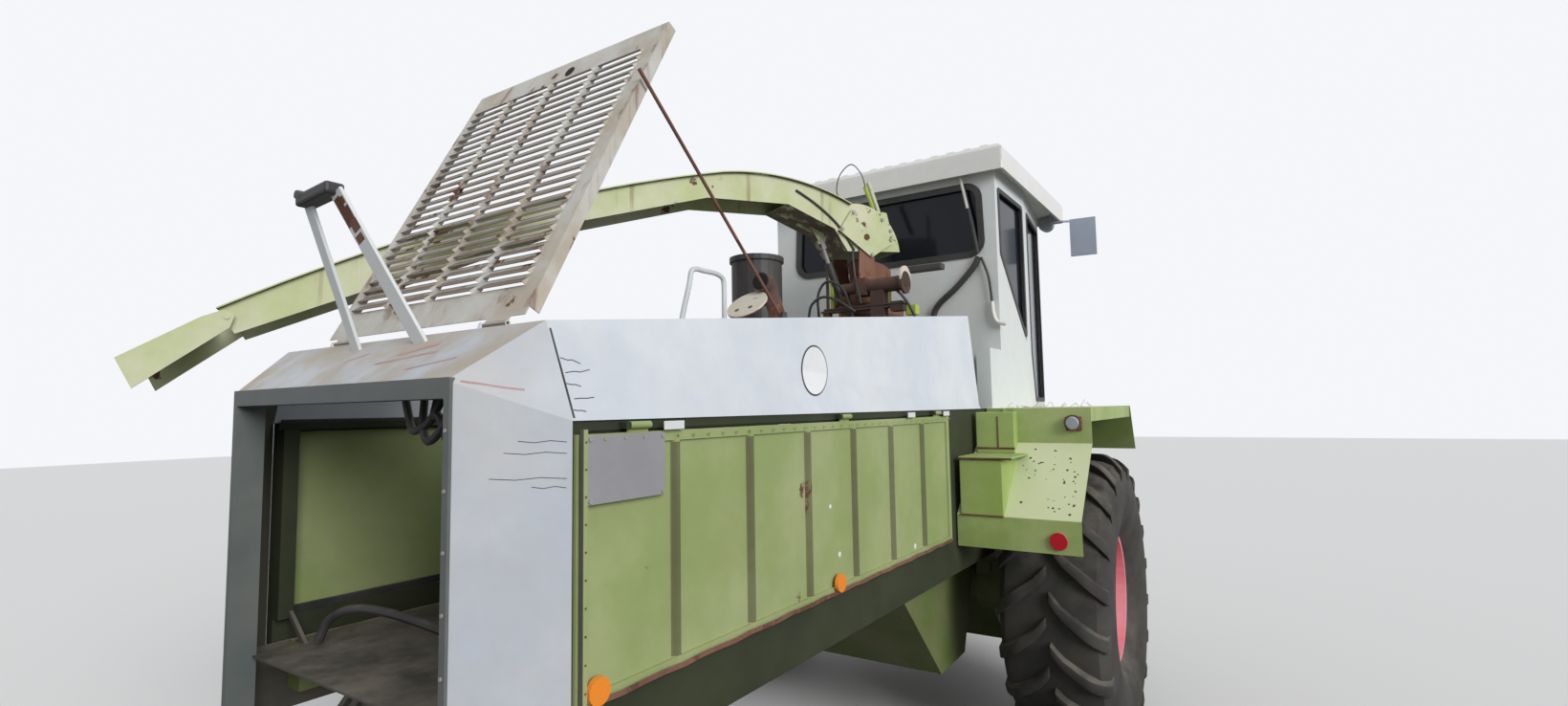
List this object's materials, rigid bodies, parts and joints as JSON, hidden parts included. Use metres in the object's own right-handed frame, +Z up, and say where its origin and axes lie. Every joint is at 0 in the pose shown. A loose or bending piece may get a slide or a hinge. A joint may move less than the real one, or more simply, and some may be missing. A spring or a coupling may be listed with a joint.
{
  "type": "self-propelled forage harvester",
  "caption": "Forage harvester with rear engine hood, open louvred lid, slewing discharge spout, cab over the drive wheels and steered rear axle.",
  "frame": {"origin": "middle of the whole machine's box, on the ground under the wheels", "axes": "+Y to the rear of the machine (the spout and hood end), +X to the driver's left, +Z up"},
  "size_m": [2.9648, 5.31, 3.42],
  "materials": {
    "cab_white": "faded off-white paint, dusty",
    "dark_metal": "black paint, dusty",
    "glass": "tinted, dusty",
    "green": "faded olive green paint, dusty",
    "hood_white": "faded off-white paint, scratched",
    "lamp": "lamp lenses and reflectors",
    "lip_grey": "grey paint",
    "pale_green": "faded yellow-green paint with rust spots",
    "rim_red": "faded red paint",
    "rusty_steel": "rusted steel",
    "seat_black": "worn black vinyl",
    "steel": "worn bare steel",
    "tyre": "dusty black rubber"
  },
  "bodies": {
    "chassis": {"air_cleaner": "dark_metal", "bay_floor": "green", "blower_housing": "green", "body_frame": "green", "cab_duct": "cab_white", "cab_glass": "glass", "cab_pedestal": "green", "cab_roof": "cab_white", "cab_shell": "cab_white", "chassis_rails": "green", "chopper_housing": "green", "cross_members": "green", "deck_handrail": "cab_white", "engine_block": "dark_metal", "exhaust_stub": "rusty_steel", "feeder_housing": "green", "fender_left": "pale_green", "fender_right": "pale_green", "front_axle": "green", "hood_shell": "hood_white", "hoses": "dark_metal", "ladder": "green", "lamps": "lamp", "mirrors": "cab_white", "prop_foot": "dark_metal", "rear_axle_beam": "green", "rear_axle_hanger": "green", "rear_cowl": "hood_white", "rear_opening_frame": "lip_grey", "seat": "seat_black", "slew_motor": "rusty_steel", "spout_rest": "hood_white", "steering_column": "dark_metal", "tow_hitch": "green", "turret_base": "rusty_steel", "turret_deck": "green"},
    "front_wheel_left": {"front_rim_left": "rim_red", "front_tyre_left": "tyre"},
    "front_wheel_right": {"front_rim_right": "rim_red", "front_tyre_right": "tyre"},
    "rear_wheel_left": {"rear_rim_left": "rim_red", "rear_tyre_left": "tyre"},
    "rear_wheel_right": {"rear_rim_right": "rim_red", "rear_tyre_right": "tyre"},
    "knuckle_left": {"knuckle_left": "green"},
    "knuckle_right": {"knuckle_right": "green"},
    "side_door_left": {"side_door_left": "green"},
    "side_door_right": {"side_door_right": "green"},
    "engine_lid": {"louvred_lid": "hood_white"},
    "prop_rod": {"prop_rod": "rusty_steel"},
    "turret": {"turret_ring": "pale_green"},
    "spout": {"spout": "pale_green"},
    "spout_cap": {"spout_cap": "pale_green"},
    "lift_barrel": {"lift_cylinder_barrel": "dark_metal"},
    "lift_rod": {"lift_cylinder_rod": "steel"},
    "cab_door": {"cab_door": "cab_white", "door_glass": "glass"},
    "feed_roll_upper": {"feed_roll_upper": "steel"},
    "feed_roll_lower": {"feed_roll_lower": "steel"}
  },
  "joints": [
    {"name": "front_wheel_left_spin", "type": "hinge", "parent": "chassis", "child": "front_wheel_left", "pos_m": [1.01763, -1.005, 0.79], "axis": [1, 0, 0], "continuous": true},
    {"name": "front_wheel_right_spin", "type": "hinge", "parent": "chassis", "child": "front_wheel_right", "pos_m": [-1.21237, -1.005, 0.79], "axis": [1, 0, 0], "continuous": true},
    {"name": "steer_left", "type": "hinge", "parent": "chassis", "child": "knuckle_left", "pos_m": [0.60263, 1.545, 0.47], "axis": [0, 0, 1], "range_deg": [-40, 40]},
    {"name": "steer_right", "type": "hinge", "parent": "chassis", "child": "knuckle_right", "pos_m": [-0.79737, 1.545, 0.47], "axis": [0, 0, 1], "range_deg": [-40, 40]},
    {"name": "rear_wheel_left_spin", "type": "hinge", "parent": "knuckle_left", "child": "rear_wheel_left", "pos_m": [0.88263, 1.545, 0.47], "axis": [1, 0, 0], "continuous": true},
    {"name": "rear_wheel_right_spin", "type": "hinge", "parent": "knuckle_right", "child": "rear_wheel_right", "pos_m": [-1.07737, 1.545, 0.47], "axis": [1, 0, 0], "continuous": true},
    {"name": "side_door_left_hinge", "type": "hinge", "parent": "chassis", "child": "side_door_left", "pos_m": [0.65863, 1.075, 1.832], "axis": [0, -1, 0], "range_deg": [0, 80]},
    {"name": "side_door_right_hinge", "type": "hinge", "parent": "chassis", "child": "side_door_right", "pos_m": [-0.85337, 1.075, 1.832], "axis": [0, 1, 0], "range_deg": [0, 80]},
    {"name": "lid_hinge", "type": "hinge", "parent": "chassis", "child": "engine_lid", "pos_m": [-0.05737, 2.25, 2.09818], "axis": [1, 0, 0], "range_deg": [0, 56]},
    {"name": "prop_rod_hinge", "type": "hinge", "parent": "chassis", "child": "prop_rod", "pos_m": [-0.58537, 1.09, 2.22392], "axis": [-1, 0, 0], "range_deg": [0, 44]},
    {"name": "spout_slew", "type": "hinge", "parent": "chassis", "child": "turret", "pos_m": [-0.19737, -0.485, 2.4], "axis": [0, 0, -1], "range_deg": [0, 63]},
    {"name": "spout_lift", "type": "hinge", "parent": "turret", "child": "spout", "pos_m": [-0.13835, -0.36917, 2.85], "axis": [0.891, -0.454, 0], "range_deg": [0, 25]},
    {"name": "spout_cap_hinge", "type": "hinge", "parent": "spout", "child": "spout_cap", "pos_m": [1.1982, 2.25395, 2.24], "axis": [0.891, -0.454, 0], "range_deg": [-30, 25]},
    {"name": "lift_barrel_pivot", "type": "hinge", "parent": "turret", "child": "lift_barrel", "pos_m": [-0.09976, -0.29343, 2.495], "axis": [0.891, -0.454, 0], "range_deg": [-1, 7.6]},
    {"name": "lift_rod_slide", "type": "slide", "parent": "lift_barrel", "child": "lift_rod", "axis": [0.1675, 0.3288, 0.9294], "range_m": [-0.004, 0.089]},
    {"name": "cab_door_hinge", "type": "hinge", "parent": "chassis", "child": "cab_door", "pos_m": [0.61077, -2.14149, 2.5], "axis": [0, 0, 1], "range_deg": [0, 81]},
    {"name": "feed_roll_upper_spin", "type": "hinge", "parent": "chassis", "child": "feed_roll_upper", "pos_m": [-0.09737, -2.485, 0.7], "axis": [1, 0, 0], "continuous": true},
    {"name": "feed_roll_lower_spin", "type": "hinge", "parent": "chassis", "child": "feed_roll_lower", "pos_m": [-0.09737, -2.485, 0.5], "axis": [1, 0, 0], "continuous": true}
  ],
  "couplings": [
    {"joint": "steer_right", "follows": "steer_left", "ratio": 1},
    {"joint": "lift_barrel_pivot", "follows": "spout_lift", "ratio": 0.24495},
    {"joint": "lift_rod_slide", "follows": "spout_lift", "m_per_rad": 0.19486},
    {"joint": "feed_roll_lower_spin", "follows": "feed_roll_upper_spin", "ratio": -1}
  ]
}
